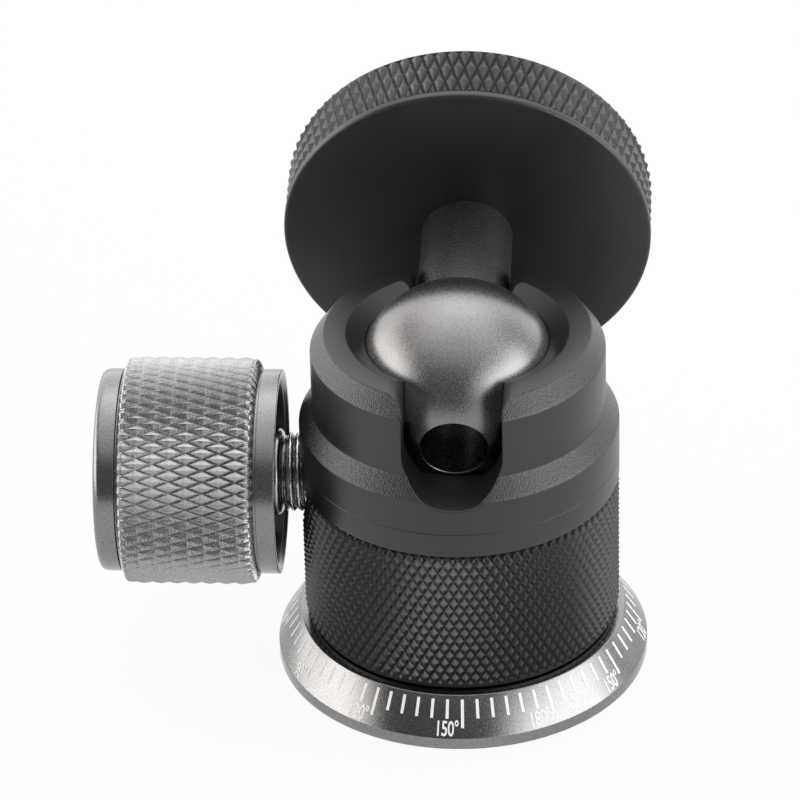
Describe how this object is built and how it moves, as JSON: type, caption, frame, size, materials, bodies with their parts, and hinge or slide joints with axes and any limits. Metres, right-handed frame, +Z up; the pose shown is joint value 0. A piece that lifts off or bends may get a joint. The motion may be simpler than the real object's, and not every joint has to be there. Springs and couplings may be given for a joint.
{
  "type": "tripod ball head",
  "caption": "Compact tripod ball head: stepped black housing with knurled grip and drop notches, grey ball, clamp knob at the side, and a round knurled platform.",
  "frame": {"origin": "centre of the base ring's bottom face, on the body axis", "axes": "+Z up the body axis, -Y is the front with the open drop notch, the clamp knob points along -X, the platform leans back towards +Y"},
  "size_m": [0.0554, 0.0533, 0.0562],
  "materials": {
    "black_anodised": "fine black anodised, satin",
    "grey_anodised": "blasted gunmetal anodised",
    "black_steel": "blackened, semi-gloss",
    "bright_steel": "turned",
    "brass": "turned",
    "polymer": "low-friction polymer, matte",
    "rubber": "matte"
  },
  "bodies": {
    "base": {"base_ring": "grey_anodised", "thread_insert": "brass", "reducer_bush": "bright_steel", "glide_washer": "polymer", "friction_washer": "polymer", "pan_retainer": "bright_steel", "retainer_screws": "black_steel"},
    "body": {"housing": "black_anodised", "bearing_plate": "black_anodised", "spring_plate": "bright_steel", "disc_springs": "bright_steel"},
    "cup": {"ball_cup": "polymer"},
    "pusher": {"clamp_pusher": "brass"},
    "knob": {"clamp_screw": "black_steel", "knob_core": "black_anodised", "knob_sleeve": "grey_anodised", "knob_end_cap": "black_anodised", "knob_fixing_screw": "black_steel"},
    "ball": {"ball": "grey_anodised", "ball_bolt": "black_steel", "lock_washer": "bright_steel"},
    "platform": {"stem": "black_anodised", "platform_disc": "black_anodised", "platform_pad": "rubber", "camera_stud": "bright_steel"}
  },
  "joints": [
    {"name": "pan", "type": "hinge", "parent": "base", "child": "body", "pos_m": [0, 0, 0.0085], "axis": [0, 0, 1], "continuous": true},
    {"name": "ball_tilt", "type": "hinge", "parent": "body", "child": "ball", "pos_m": [0, 0, 0.0319], "axis": [1, 0, 0], "range_deg": [-11.5, 168.5]},
    {"name": "platform_spin", "type": "hinge", "parent": "ball", "child": "platform", "pos_m": [0, 0, 0.0319], "axis": [0, 0.9799, 0.1994], "continuous": true},
    {"name": "pusher_slide", "type": "slide", "parent": "body", "child": "pusher", "axis": [-1, 0, 0], "range_m": [0, 0.00075]},
    {"name": "knob_turn", "type": "hinge", "parent": "pusher", "child": "knob", "pos_m": [-0.02, 0, 0.02072], "axis": [-1, 0, 0], "range_deg": [0, 360]},
    {"name": "cup_lift", "type": "slide", "parent": "body", "child": "cup", "axis": [0, 0, -1], "range_m": [0, 0.00075], "deforming": ["disc_springs"]}
  ],
  "couplings": [
    {"joint": "knob_turn", "follows": "pusher_slide", "rad_per_m": 8377.6},
    {"joint": "cup_lift", "follows": "pusher_slide", "ratio": 1}
  ]
}
